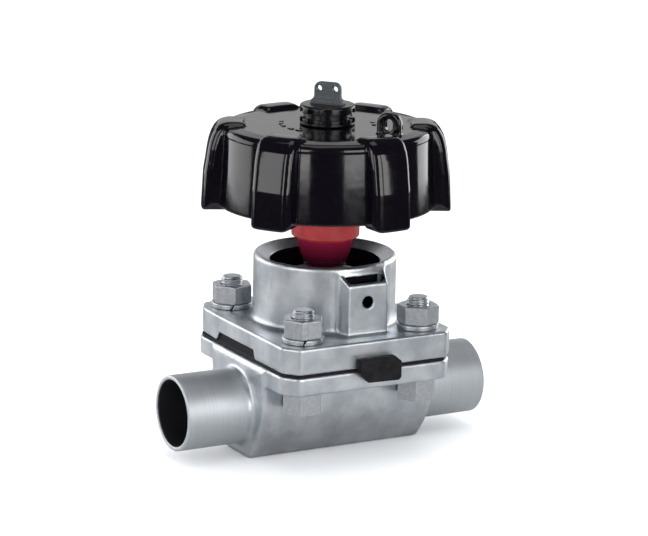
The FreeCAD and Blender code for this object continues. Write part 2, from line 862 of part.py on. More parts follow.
os.makedirs("parts", exist_ok=True)
export(valve_body(), "valve_body")
export(diaphragm(), "diaphragm")
export(diaphragm_stud(), "diaphragm_stud")
export(bonnet(), "bonnet")
export(seal_cap(), "seal_cap")
export(spindle_bush(), "spindle_bush")
export(bush_seal_ring(), "bush_seal_ring")
export(spindle_seal_ring(), "spindle_seal_ring")
export_group([cover_bolt(x, y) for x, y in bolt_places()], "cover_bolts")
export_group([spring_washer(x, y) for x, y in bolt_places()], "spring_washers")
export_group([cover_nut(x, y, 12 * k) for k, (x, y) in enumerate(bolt_places())], "cover_nuts")
export(compressor(), "compressor")
export_group([compressor_pin(x) for x in pin_places()], "compressor_pins")
export(thrust_disc(), "thrust_disc")
export(spindle(), "spindle")
export(indicator_sleeve(), "indicator_sleeve")
export(handwheel(), "handwheel")
export(wheel_insert(), "wheel_insert")
export(wheel_washer(), "wheel_washer")
export(wheel_nut(), "wheel_nut")
export(limiter_knob(), "limiter_knob")
export(seal_tab(), "seal_tab")
export(limiter_screw(), "limiter_screw")
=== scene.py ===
import math

import bpy
import numpy as np
import openvdb
from mathutils import Matrix, Vector


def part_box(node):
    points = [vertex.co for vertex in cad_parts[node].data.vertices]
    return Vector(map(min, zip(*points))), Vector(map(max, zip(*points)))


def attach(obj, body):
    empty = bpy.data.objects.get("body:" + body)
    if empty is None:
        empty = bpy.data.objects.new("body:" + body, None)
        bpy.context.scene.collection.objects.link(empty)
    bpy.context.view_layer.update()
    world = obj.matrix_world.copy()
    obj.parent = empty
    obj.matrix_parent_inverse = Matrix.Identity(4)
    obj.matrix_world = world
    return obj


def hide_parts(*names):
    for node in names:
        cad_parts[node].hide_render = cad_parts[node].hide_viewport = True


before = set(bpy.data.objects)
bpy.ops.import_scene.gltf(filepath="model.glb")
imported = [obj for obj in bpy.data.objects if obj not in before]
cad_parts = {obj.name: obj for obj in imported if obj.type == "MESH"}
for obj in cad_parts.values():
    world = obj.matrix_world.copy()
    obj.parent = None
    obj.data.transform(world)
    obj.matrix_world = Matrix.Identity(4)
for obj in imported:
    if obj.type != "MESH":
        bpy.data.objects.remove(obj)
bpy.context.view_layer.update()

# Lengths are millimetres in the shared frame until a mesh is made, and metres in materials and in the studio.
# +X is along the pipe, +Z up the spindle, and -Y the front that the photo shows.
MM = 0.001


def node_box(node):
    """A CAD node's lowest and highest corners, in millimetres."""
    low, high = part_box(node)
    return [v / MM for v in low], [v / MM for v in high]


def node_heights(node):
    low, high = node_box(node)
    return low[2], high[2]


# ------------------------------------------------------------ sizes read from the frame

body_low, body_high = node_box("valve_body")
bonnet_low, bonnet_high = node_box("bonnet")
cap_low, cap_high = node_box("seal_cap")
sleeve_low, sleeve_high = node_box("indicator_sleeve")
wheel_low, wheel_high = node_box("handwheel")
knob_low, knob_high = node_box("limiter_knob")
tab_low, tab_high = node_box("seal_tab")
rubber_low, rubber_high = node_box("diaphragm")

end_x, flange_half_y, joint_z = body_high
bonnet_half_x, bonnet_half_y, bonnet_top_z = bonnet_high
bonnet_base_z = bonnet_low[2]
deck_z = node_heights("spring_washers")[0]
nut_low_z, nut_high_z = node_heights("cover_nuts")
bolt_low_z, bolt_tip_z = node_heights("cover_bolts")

# ------------------------------------------------------------ sizes of the shapes inside those boxes

# body
tube_radius = 13.45
tube_wall = 1.6
pipe_axis_z = 17.5
block_half_length = 34.6
block_half_width = 19.8
keel_half_width = 9.1
shoulder_half_width = 17.0
shoulder_z = 9.2
body_flange_z = 28.8
body_flange_half_x = 33.8
flange_chamfer = (4.4, 5.3)
bowl_radius = 21.5
bowl_throat = 17.2
weir_depth = 6.7
weir_half_foot = 7.5
weir_half_crest = 2.4

# rubber: the front tab as (x, z) corners, the side notch as (y, height over the cover's underside) corners
front_tab = [(-7.1, 40.6), (-7.1, 35.6), (-3.7, 32.1), (8.3, 31.8), (9.3, 32.8), (9.3, 38.6), (6.8, 40.7)]
front_tab_thickness = 3.6
side_notch = [(-11.4, 0.0), (-10.0, 3.4), (16.6, 3.4), (19.4, 0.0)]
bead_radii = (19.6, 26.0)

# fasteners
bolt_x = 23.0
bolt_y = 27.0
bolt_radius = 4.0
bolt_flats = 13.0
thread_pitch = 1.25
thread_depth = 0.66
washer_radii = (4.15, 7.4)

# bonnet
bonnet_radius = 25.4
bonnet_lip = 1.2
crown_radius = 1.7
bead_room_radius = 26.3
presser_room_radius = 19.3
guide_half_width = 4.3
guide_reach = 20.8
guide_top_z = 50.5
bush_radius = 11.0
bush_top_z = 57.0
well_radius = 13.0
cap_seat_z = 62.5
pocket_x = (-6.1, 9.3)
pocket_face_y = -29.0
pocket_wall = 1.2
pocket_top_z = 63.4
eye_place = (1.6, 57.9)
eye_radius = 2.1

# cap
cap_rim_z = cap_high[2]
cap_outer = cap_high[0] + 0.9
cap_crest_z = cap_rim_z - 0.6

# sleeve and wheel
shaft_hole_radius = 6.03
sleeve_step_z = 76.1
grip_angle = -85.9
grip_half_width = 7.7
grip_radius = 44.2
panel_radius = 38.4
wheel_wall = 2.4
wheel_inside_z = 80.0
wheel_wide_z = 87.5
disc_thickness = 2.6
disc_z = 116.2
hub_radius = 11.5
hub_bottom_z = 92.0
insert_flats = 16.0
insert_z = (100.0, 110.0)
recess_radius = 8.26
mark_radii = (15.6, 17.2)
mark_half_length = 1.3
mark_turns = (142, 156, 170, 190, 204, 218, 330, 344)
ear_place = (10.9, -25.1)
ear_height = 7.7
ear_half_width = 4.5
ear_top_radius = 4.0
ear_slot_radius = 1.4

# limiter
knob_radius = 9.8
knob_groove = 1.6
knob_teeth = 10
knob_turn = -120.0
tooth_gap_half = 1.45
screw_hole_radius = 2.15
tab_angle = -50.0
tab_half_width = 5.2
tab_corner = 2.4
tab_half_thickness = 1.3
tab_eye_x = 3.0
tab_eye_radius = 1.1

# farther than any shape reaches
FAR = np.float32(1000.0)


# ------------------------------------------------------------ shapes as distance fields

def smooth_meet(a, b, soft):
    """Where both fields are inside, with the edge between them rounded over about soft."""
    near = np.maximum(soft - np.abs(a - b), 0.0)
    return np.maximum(a, b) + near * near / (4 * soft)


def smooth_join(a, b, soft):
    """Either field, with a fillet of about soft in the corner between them."""
    return -smooth_meet(-a, -b, soft)


def smooth_cut(a, b, soft):
    return smooth_meet(a, -b, soft)


def between(value, low, high):
    return np.maximum(low - value, value - high)


def softly_between(value, low, high, soft):
    return smooth_meet(low - value, value - high, soft)


class Space:
    """A box of evenly spaced points, larger than the shape in it by border steps on every side."""

    border = 3

    def __init__(self, low, high, step):
        self.step = step
        self.low = np.array(low, np.float32) - self.border * step
        counts = np.ceil((np.array(high) + self.border * step - self.low) / step).astype(int)
        axes = [self.low[k] + step * np.arange(counts[k], dtype=np.float32) for k in range(3)]
        self.x = axes[0][:, None, None]
        self.y = axes[1][None, :, None]
        self.z = axes[2][None, None, :]
        self.r = np.hypot(self.x, self.y)

    def turned_by(self, degrees, centre=(0.0, 0.0)):
        """The x and y of a copy of the axes moved to the centre and turned about z."""
        a = math.radians(degrees)
        x, y = self.x - centre[0], self.y - centre[1]
        return x * math.cos(a) + y * math.sin(a), y * math.cos(a) - x * math.sin(a)

    def lathe(self, outline):
        """The solid turned about the spindle from (radius, z) corners. Radius 0 is moved past the spindle, so
        that the outline has no edge along it."""
        past_spindle = -20.0
        corners = [(r if r > 0 else past_spindle, z) for r, z in outline]
        fine = self.step / 2
        radii = np.arange(0, float(self.r.max()) + 2 * fine, fine, dtype=np.float32)
        table = polygon_field(corners, radii[:, None], self.z[0, 0][None, :])
        place = self.r[:, :, 0] / fine
        row = np.minimum(place.astype(int), len(radii) - 2)
        share = (place - row)[:, :, None].astype(np.float32)
        return table[row] * (1 - share) + table[row + 1] * share

    def plan(self, outline):
        """The upright prism over (x, y) corners."""
        return polygon_field(outline, self.x[:, :, 0], self.y[0, :, 0][None, :])[:, :, None]

    def mesh_data(self, field):
        band = self.border * self.step
        shape = (self.x.shape[0], self.y.shape[1], self.z.shape[2])
        field = np.array(np.broadcast_to(np.clip(field, -band, band), shape), np.float32, order="C")
        grid = openvdb.FloatGrid(background=float(band))
        grid.copyFromArray(field)
        points, _, quads = grid.convertToPolygons(isovalue=0.0)
        return points * self.step + self.low, quads.astype(np.int32)


def polygon_field(corners, u, v):
    """Signed distance to a polygon with (u, v) corners, on a grid of u by v."""
    shape = np.broadcast_shapes(u.shape, v.shape)
    nearest = np.full(shape, np.inf, np.float32)
    inside = np.zeros(shape, bool)
    for (au, av), (bu, bv) in zip(corners, corners[1:] + corners[:1]):
        eu, ev = bu - au, bv - av
        t = np.clip(((u - au) * eu + (v - av) * ev) / (eu * eu + ev * ev), 0, 1)
        nearest = np.minimum(nearest, (u - au - t * eu) ** 2 + (v - av - t * ev) ** 2)
        if av != bv:
            crosses = ((av <= v) != (bv <= v)) & (u < au + (v - av) * eu / ev)
            inside ^= crosses
    return np.where(inside, -1.0, 1.0).astype(np.float32) * np.sqrt(nearest)


def arc(centre, radius, start, end, steps=8):
    """Corners along a round stretch of an outline, by angle in degrees."""
    corners = []
    for k in range(steps + 1):
        a = math.radians(start + (end - start) * k / steps)
        corners.append((centre[0] + radius * math.cos(a), centre[1] + radius * math.sin(a)))
    return corners


def hexagon_field(space, flats, turn=0.0):
    a, b, c = (abs(space.turned_by(turn + 30 + 60 * k)[0]) for k in range(3))
    return np.maximum(np.maximum(a, b), c) - flats / 2


# ------------------------------------------------------------ meshes

def make_object(name, points, faces, material):
    mesh = bpy.data.meshes.new(name)
    mesh.from_pydata(points * MM, [], faces)
    mesh.shade_smooth()
    mesh.materials.append(material)
    piece = bpy.data.objects.new(name, mesh)
    bpy.context.scene.collection.objects.link(piece)
    return piece


def place_piece(piece, body, slot, *nodes):
    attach(piece, body)
    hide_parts(*nodes)


def copies(points, faces, places):
    """The same mesh at several (x, y, z, turn in degrees) places, as one mesh."""
    all_points, all_faces = [], []
    for k, (x, y, z, turn) in enumerate(places):
        a = math.radians(turn)
        spin = np.array([[math.cos(a), -math.sin(a), 0], [math.sin(a), math.cos(a), 0], [0, 0, 1]])
        all_points.append(points @ spin.T + np.array([x, y, z]))
        all_faces.append(faces + k * len(points))
    return np.concatenate(all_points), np.concatenate(all_faces)


def bolt_places(z, turns):
    """The four bolts' places for copies(), each with its own turn."""
    corners = [(sx * bolt_x, sy * bolt_y) for sx in (-1, 1) for sy in (-1, 1)]
    return [(x, y, z, turn) for (x, y), turn in zip(corners, turns)]


# ------------------------------------------------------------ valve body

def weir_field(s):
    """The dam across the bowl, its crest dipping in the middle."""
    slope = (weir_half_foot - weir_half_crest) / joint_z
    sides = (np.abs(s.x) - weir_half_foot + slope * s.z) / math.hypot(1, slope)
    crest_z = joint_z - weir_depth
    saddle = (bowl_radius ** 2 + weir_depth ** 2) / (2 * weir_depth)
    dip = saddle - np.hypot(s.y, s.z - crest_z - saddle)
    return smooth_meet(sides, dip, 2.0)


def chamfered_field(s, half_x, half_y, soft):
    """A rectangle in plan with its four corners cut off."""
    cut_x, cut_y = flange_chamfer
    over_x = np.abs(s.x) - half_x
    over_y = np.abs(s.y) - half_y
    corner = (over_x * cut_y + (over_y + cut_y) * cut_x) / math.hypot(cut_x, cut_y)
    return smooth_meet(smooth_meet(over_x, over_y, soft), corner, soft)


def bolt_holes_field(s, room):
    """The four bolt holes, wider than the bolts by the room in radius."""
    return np.hypot(np.abs(s.x) - bolt_x, np.abs(s.y) - bolt_y) - bolt_radius - room


def valve_body():
    s = Space(body_low, body_high, 0.4)
    side = np.abs(s.y)
    keel_y = shoulder_half_width - keel_half_width
    keel = ((side - keel_half_width) * shoulder_z - s.z * keel_y) / math.hypot(keel_y, shoulder_z)
    section = smooth_meet(side - block_half_width, keel, 7.0)
    section = smooth_meet(section, -s.z, 1.2)
    section = smooth_meet(section, s.z - joint_z + 1, 0.5)
    block = smooth_meet(section, np.abs(s.x) - block_half_length, 1.6)
    pipe_r = np.hypot(s.y, s.z - pipe_axis_z)
    tube = smooth_meet(pipe_r - tube_radius, np.abs(s.x) - end_x, 0.35)
    body = smooth_join(block, tube, 1.8)
    outline = chamfered_field(s, body_flange_half_x, flange_half_y, 1.6)
    flange = smooth_meet(outline, softly_between(s.z, body_flange_z, joint_z, 0.1), 1.0)
    body = smooth_join(body, flange, 1.6)
    body = smooth_cut(body, bolt_holes_field(s, 0.5), 0.4)
    bore = tube_radius - tube_wall
    bore_low_z = pipe_axis_z - bore
    bowl = s.lathe([
        (0, bore_low_z + 0.3), (8.5, bore_low_z + 1.5), (12.5, bore_low_z + 5.3), (15.6, pipe_axis_z + 1),
        (bowl_throat, body_flange_z + 0.7), (bowl_radius, joint_z), (bowl_radius, joint_z + 4),
        (0, joint_z + 4)])
    space_in = smooth_cut(smooth_join(bowl, pipe_r - bore, 1.0), weir_field(s), 1.0)
    return s.mesh_data(smooth_cut(body, space_in, 0.35))


# ------------------------------------------------------------ diaphragm

def side_notch_field(s, side, shrink):
    """The long low trapezium of the notch in the cover flange's left (-1) or right (+1) edge."""
    corners = []
    for y, z in side_notch:
        inset = shrink if y > 0 else -shrink
        corners.append((-side * (y - inset), bonnet_base_z + (z - shrink if z > 0 else -1.1)))
    field = polygon_field(corners, s.y[0, :, 0][:, None], s.z[0, 0][None, :])
    return field[None, :, :]


def diaphragm():
    """The rubber in its open shape: plate, bead and bulge, and the tabs that show outside."""
    s = Space(rubber_low, rubber_high, 0.3)
    outline = chamfered_field(s, body_flange_half_x - 0.5, flange_half_y - 0.5, 1.2)
    plate = smooth_meet(outline, between(s.z, joint_z, bonnet_base_z), 0.3)
    plate = np.maximum(plate, -bolt_holes_field(s, 0.8))
    bead_inner, bead_outer = bead_radii
    bead = s.lathe([
        (bead_inner, joint_z), (bead_outer, joint_z), (bead_outer, joint_z + 3.0),
        (bead_inner - 0.4, joint_z + 3.0), (17.0, joint_z + 5.0), (12.0, joint_z + 4.8), (8.0, joint_z + 3.9),
        (0, joint_z + 3.9), (0, joint_z + 1.5), (8.0, joint_z + 1.5), (12.0, joint_z + 2.6),
        (16.0, joint_z + 2.4)])
    plate = smooth_join(np.maximum(plate, 21.0 - s.r), bead, 0.5)
    front_y = rubber_low[1]
    tab_face = polygon_field(front_tab, s.x[:, 0, 0][:, None], s.z[0, 0][None, :])[:, None, :]
    tab = smooth_meet(tab_face, between(s.y, front_y, front_y + front_tab_thickness), 0.9)
    tongue = np.maximum(between(s.x, -6.0, 8.0), between(s.y, front_y + 2.6, -flange_half_y + 3))
    tongue = np.maximum(tongue, between(s.z, joint_z, bonnet_base_z))
    left_tab = between(-s.x, bonnet_half_x - 2.8, bonnet_half_x - 0.9)
    left_tab = np.maximum(side_notch_field(s, -1, 0.5), left_tab)
    return s.mesh_data(np.minimum(np.minimum(plate, tongue), np.minimum(tab, left_tab)))


# ------------------------------------------------------------ bonnet

def half_plane(s, a, b):
    """Distance outside the line from a to b in plan, with the inside on its left."""
    dx, dy = b[0] - a[0], b[1] - a[1]
    return ((s.x - a[0]) * dy - (s.y - a[1]) * dx) / math.hypot(dx, dy)


def cover_outline(s):
    """The flange's plan: chamfered corners, its sides eased towards the back."""
    x, y = bonnet_half_x, bonnet_half_y
    back = [(x, 21.4), (x - 0.8, y - 6.2), (x - 4.4, y)]
    front = [(-x, 5.3 - y), (4.4 - x, -y), (x - 4.4, -y), (x, 5.3 - y)]
    corners = back + [(-px, py) for px, py in reversed(back)] + front
    field = -FAR
    for a, b in zip(corners, corners[1:] + corners[:1]):
        field = smooth_meet(field, half_plane(s, a, b), 0.9)
    return field


def pocket_field(s):
    """The upright pocket on the front, flaring where it meets the barrel, with a sloping roof."""
    left, right = pocket_x
    plan = s.plan([(left, pocket_face_y), (right, pocket_face_y), (right + 2.9, -20.0), (left - 2.9, -20.0)])
    rise = (bonnet_top_z + 0.2 - pocket_top_z) / 10.0
    roof = (s.z - pocket_top_z - rise * (s.y - pocket_face_y + 1)) / math.hypot(1, rise)
    return smooth_meet(smooth_meet(plan, roof, 0.7), deck_z - 1 - s.z, 0.1)


def bonnet_room_outline():
    """The hollow under the bonnet, the bush's bore, the well and the mouth round the cap."""
    lip = bonnet_radius - bonnet_lip
    return [
        (0, bonnet_base_z - 5), (bead_room_radius, bonnet_base_z - 5), (bead_room_radius, joint_z + 3),
        (presser_room_radius, joint_z + 3), (presser_room_radius, guide_top_z), (bush_radius, guide_top_z),
        (bush_radius, bush_top_z), (well_radius, bush_top_z), (well_radius, cap_seat_z),
        (cap_outer + 0.05, cap_seat_z), (cap_outer + 0.05, cap_crest_z - 0.5),
        (cap_outer + 0.5, cap_crest_z - 0.2), (lip - 0.4, bonnet_top_z - 0.5), (lip + 0.2, bonnet_top_z + 0.5),
        (lip, bonnet_top_z + 5), (0, bonnet_top_z + 5)]


def pocket_holes(s):
    """The pocket's slot from above and the round eye in its face."""
    left, right = pocket_x[0] + pocket_wall, pocket_x[1] - pocket_wall
    front, back = pocket_face_y + pocket_wall, -22.2
    slot = s.plan([(left, front), (right, front), (right + 1.6, back), (left - 1.9, back)])
    slot = np.maximum(slot, between(s.z, 50.0, 66.6))
    eye = np.hypot(s.x - eye_place[0], s.z - eye_place[1]) - eye_radius
    return slot, np.maximum(eye, between(s.y, pocket_face_y - 2, -24.0))


def bonnet():
    s = Space(bonnet_low, bonnet_high, 0.35)
    plate = smooth_meet(cover_outline(s), between(s.z, bonnet_base_z, deck_z), 1.1)
    crown = arc((bonnet_radius - crown_radius, bonnet_top_z - crown_radius), crown_radius, 0, 90)
    barrel = s.lathe([(0, bonnet_base_z + 1), (bonnet_radius, bonnet_base_z + 1)] + crown + [(0, bonnet_top_z)])
    solid = smooth_join(plate, barrel, 2.6)
    solid = smooth_join(solid, pocket_field(s), 1.3)
    solid = smooth_cut(solid, s.lathe(bonnet_room_outline()), 0.4)
    guide = np.maximum(np.abs(s.y) - guide_reach, s.z - guide_top_z)
    solid = np.maximum(solid, -np.maximum(np.abs(s.x) - guide_half_width, guide))
    slot, eye = pocket_holes(s)
    solid = smooth_cut(smooth_cut(solid, slot, 0.4), eye, 0.5)
    solid = smooth_cut(solid, bolt_holes_field(s, 0.5), 0.4)
    for side in (-1, 1):
        notch = np.maximum(side_notch_field(s, side, 0.0), bonnet_half_x - 3.5 - side * s.x)
        solid = smooth_cut(solid, notch, 0.5)
    return s.mesh_data(solid)


def seal_cap():
    """The dished ring: a rounded rim falling to a rounded inner edge."""
    s = Space((-cap_outer, -cap_outer, cap_low[2]), (cap_outer, cap_outer, cap_rim_z), 0.2)
    inner = well_radius - 0.3
    rim = arc((cap_outer - 0.6, cap_crest_z - 0.6), 0.6, 0, 100, 5)
    inner_edge = arc((inner + 1.0, cap_crest_z - 2.7), 1.0, 100, 180, 5)
    return s.mesh_data(s.lathe(
        [(well_radius, cap_seat_z), (cap_outer, cap_seat_z)] + rim +
        [(cap_outer - 3.5, cap_crest_z - 0.9), (inner + 1.1, cap_crest_z - 1.8)] + inner_edge +
        [(inner, cap_seat_z + 1.5), (well_radius, cap_seat_z + 1.2)]))


# ------------------------------------------------------------ fasteners

def thread_field(s, radius, pitch, depth):
    """A helical thread about the local z axis, its crests at the radius."""
    turn = np.arctan2(s.y, s.x) / (2 * math.pi)
    phase = s.z / pitch - turn
    ridge = np.abs(phase - np.round(phase)) * 2
    return (s.r - radius + depth * ridge) * 0.8


def cover_bolt():
    """A bolt from its head's underside up to its tip, about the local z axis."""
    length = bolt_tip_z - bolt_low_z
    head_top = body_flange_z - bolt_low_z
    corner = bolt_flats / math.sqrt(3)
    s = Space((-corner, -corner, 0), (corner, corner, length), 0.16)
    chamfer = (s.r - corner + 0.3 - s.z * math.sqrt(3)) * 0.5
    head = smooth_meet(hexagon_field(s, bolt_flats), chamfer, 0.3)
    head = smooth_meet(head, between(s.z, 0.0, head_top), 0.25)
    shank = thread_field(s, bolt_radius, thread_pitch, thread_depth)
    shank = smooth_meet(shank, between(s.z, head_top - 1, length), 0.2)
    point = (s.r - bolt_radius + 0.9 + (s.z - length)) * 0.7
    return s.mesh_data(np.minimum(head, smooth_meet(shank, point, 0.2)))


def cover_nut():
    height = nut_high_z - nut_low_z
    corner = bolt_flats / math.sqrt(3)
    s = Space((-corner, -corner, 0), (corner, corner, height), 0.16)
    top = (s.r - corner + 0.45 + (s.z - height) * math.sqrt(3)) * 0.5
    bottom = (s.r - corner + 0.45 - s.z * math.sqrt(3)) * 0.5
    nut = smooth_meet(hexagon_field(s, bolt_flats), np.maximum(top, bottom), 0.3)
    nut = smooth_meet(nut, between(s.z, 0.0, height), 0.25)
    countersink = (s.r - bolt_radius - 0.35 - (s.z - height)) * 0.7
    return s.mesh_data(smooth_cut(nut, np.minimum(s.r - bolt_radius - 0.05, countersink), 0.2))


def spring_washer():
    """A split washer, its slanting cut at the local +x side."""
    height = nut_low_z - deck_z
    inner, outer = washer_radii
    s = Space((-outer, -outer, 0), (outer, outer, height), 0.16)
    ring = smooth_meet(s.r - outer, inner - s.r, 0.1)
    ring = smooth_meet(ring, between(s.z, 0.05, height - 0.05), 0.5)
    cut = np.maximum(np.abs(s.y - 0.5 * (s.z - height / 2)) - 0.35, -s.x)
    return s.mesh_data(smooth_cut(ring, cut, 0.2))


# ------------------------------------------------------------ sleeve, wheel and limiter

def indicator_sleeve():
    """A cone that widens to a step, then a plain barrel."""
    s = Space(sleeve_low, sleeve_high, 0.25)
    low, top = sleeve_low[2], sleeve_high[2]
    r = sleeve_high[0]
    return s.mesh_data(s.lathe(
        [(shaft_hole_radius, low), (7.5, low), (r - 1.5, sleeve_step_z - 0.6), (r - 1.2, sleeve_step_z)] +
        arc((r - 0.5, sleeve_step_z + 0.5), 0.5, -90, 0, 4) + [(r, top), (shaft_hole_radius, top)]))


def wheel_outline(inset):
    """The moulding between its grips: flat disc, soft shoulder, skirt. With an inset it is the hollow below."""
    r = panel_radius - inset
    bottom = wheel_inside_z if inset else wheel_wide_z
    top = disc_z - (disc_thickness if inset else 0)
    return ([(0, bottom), (r, bottom), (r - 1.3, top - 3.2)] + arc((r - 4.0, top - 3.0), 2.8, 8, 62, 6) +
            [(r - 6.5, top), (0, top)])


def grip_outline(inset):
    """One grip from the side: raised land, long round shoulder, slightly flared front."""
    r = grip_radius - inset
    if inset:
        roof = disc_z - disc_thickness
        return [(20, wheel_inside_z), (r, wheel_inside_z), (r, wheel_wide_z - 0.2), (42.9 - inset, disc_z - 12.3),
                (41.8 - inset, disc_z - 7.0), (39.8 - inset, disc_z - 3.2), (36.5, roof), (20, roof)]
    return ([(30.0, 100.0), (36.0, wheel_low[2]), (r - 0.7, wheel_low[2])] +
            arc((r - 0.7, wheel_low[2] + 0.7), 0.7, -60, 0, 4) +
            [(r, wheel_wide_z - 0.2), (43.6, disc_z - 16.7), (42.9, disc_z - 12.3), (42.3, disc_z - 8.0),
             (41.75, disc_z - 5.4), (41.0, disc_z - 3.1), (40.0, disc_z - 1.3), (38.8, disc_z + 0.1),
             (37.3, disc_z + 0.9), (35.4, disc_z + 1.35), (33.0, disc_z + 1.4), (30.6, disc_z + 1.3),
             (29.6, disc_z + 0.9), (29.2, disc_z + 0.2), (29.2, disc_z - 3)])


def seal_ear(s):
    """The slotted ear on the disc, for a seal wire."""
    along, across = s.turned_by(tab_angle, ear_place)
    top = disc_z + ear_height
    high = s.z - (top - ear_top_radius)
    from_middle = np.abs(along) - (ear_half_width - ear_top_radius)
    round_top = np.hypot(np.maximum(from_middle, 0), high) - ear_top_radius
    face = np.where(high > 0, round_top, np.abs(along) - ear_half_width)
    plate = smooth_meet(smooth_meet(face, np.abs(across) - 1.6, 0.9), disc_z - 1 - s.z, 0.1)
    lift = s.z - np.clip(s.z, disc_z + 1.2 + ear_slot_radius, top - 2.2 - ear_slot_radius)
    return smooth_cut(plate, np.hypot(along, lift) - ear_slot_radius, 0.5)


def handwheel():
    s = Space(wheel_low, wheel_high, 0.36)
    across = np.minimum.reduce([np.abs(s.turned_by(grip_angle + 60 * k)[1]) for k in range(3)])
    outside = smooth_meet(s.lathe(wheel_outline(0)), wheel_wide_z - s.z, 0.8)
    grips = smooth_meet(s.lathe(grip_outline(0)), across - grip_half_width, 3.2)
    shell = smooth_join(outside, grips, 0.7)
    shell = smooth_cut(shell, s.lathe(wheel_outline(wheel_wall)), 0.6)
    core = smooth_meet(s.lathe(grip_outline(wheel_wall)), across - grip_half_width + wheel_wall, 0.6)
    shell = smooth_cut(shell, core, 0.6)
    hub = np.maximum(s.r - hub_radius, between(s.z, hub_bottom_z, disc_z - 1))
    ribs = FAR
    for k in range(3):
        along, side = s.turned_by(grip_angle + 30 + 60 * k)
        rib = np.maximum(np.abs(side) - 1.1, between(s.z, disc_z - 11.6, disc_z - 1.6))
        ribs = np.minimum(ribs, np.maximum(rib, between(np.abs(along), hub_radius - 1, 36.0)))
    solid = smooth_join(smooth_join(shell, hub, 1.0), ribs, 0.8)
    solid = smooth_join(solid, seal_ear(s), 0.8)
    shaft_hole = np.maximum(s.r - shaft_hole_radius, s.z - disc_z)
    insert_hole = np.maximum(hexagon_field(s, insert_flats), between(s.z, *insert_z))
    recess = np.maximum(s.r - recess_radius, insert_z[1] - s.z)
    holes = np.minimum(np.minimum(shaft_hole, insert_hole), recess)
    return s.mesh_data(smooth_cut(solid, holes, 0.3))


def raised_marks():
    """Short plain bars moulded on the disc in part of a ring round the knob."""
    reach = 18.0
    s = Space((-reach, -reach, disc_z - 0.3), (reach, reach, disc_z + 0.4), 0.16)
    bars = FAR
    for turn in mark_turns:
        along, side = s.turned_by(turn)
        bars = np.minimum(bars, np.maximum(np.abs(side) - mark_half_length, -along))
    marks = smooth_meet(between(s.r, *mark_radii), bars, 0.5)
    return s.mesh_data(smooth_meet(marks, between(s.z, disc_z - 0.2, disc_z + 0.32), 0.2))


def limiter_knob():
    """A round knob parted by a deep groove, with square teeth facing each other across it."""
    s = Space(knob_low, knob_high, 0.14)
    low = disc_z + 0.1
    top = knob_high[2]
    core = knob_radius - knob_groove
    rim_high, head_low = low + 1.1, top - 1.0
    body = s.lathe([(0, knob_low[2]), (8.2, knob_low[2]), (8.2, low), (knob_radius - 0.3, low),
                    (knob_radius, low + 0.4), (knob_radius, rim_high), (core, rim_high), (core, head_low),
                    (knob_radius, head_low)] + arc((knob_radius - 0.9, top - 0.9), 0.9, 0, 90, 5) + [(0, top)])
    for ring_low, ring_high in ((rim_high - 0.1, rim_high + 1.4), (head_low - 1.8, head_low + 0.1)):
        ring = smooth_meet(s.r - knob_radius, between(s.z, ring_low, ring_high), 0.3)
        ring = np.maximum(ring, core - 0.4 - s.r)
        for k in range(knob_teeth):
            along, side = s.turned_by(knob_turn + 360.0 / knob_teeth * k)
            gap = np.maximum(np.abs(side) - tooth_gap_half, core - 0.45 - along)
            ring = smooth_cut(ring, gap, 0.25)
        body = np.minimum(body, ring)
    along, side = s.turned_by(tab_angle)
    seat = np.maximum(np.maximum(np.abs(along) - 6.0, np.abs(side) - 1.9), top - 1.5 - s.z)
    screw_hole = np.maximum(s.r - screw_hole_radius, s.z - top + 1.6)
    return s.mesh_data(smooth_cut(body, np.minimum(seat, screw_hole), 0.3))


def seal_tab():
    """An upright plate with round upper corners and two wire eyes, on a wider foot."""
    s = Space(tab_low, tab_high, 0.14)
    along, side = s.turned_by(tab_angle)
    low, top = tab_low[2], tab_high[2]
    corner_x = np.abs(along) - tab_half_width + tab_corner + 0.3
    corner_z = s.z - top + tab_corner
    face = np.hypot(np.maximum(corner_x, 0), np.maximum(corner_z, 0)) - tab_corner
    taper = np.abs(along) - tab_half_width + 0.045 * (s.z - low)
    plate = smooth_meet(np.maximum(face, taper), np.abs(side) - tab_half_thickness, 0.8)
    foot = smooth_meet(np.abs(along) - 5.9, np.abs(side) - 1.85, 0.6)
    foot = smooth_meet(foot, s.z - low - 2.6, 0.8)
    tab = smooth_meet(smooth_join(plate, foot, 2.0), low - s.z, 0.1)
    eyes = np.hypot(np.abs(along) - tab_eye_x, s.z - top + 2.3) - tab_eye_radius
    return s.mesh_data(smooth_cut(tab, eyes, 0.3))


# ------------------------------------------------------------ materials

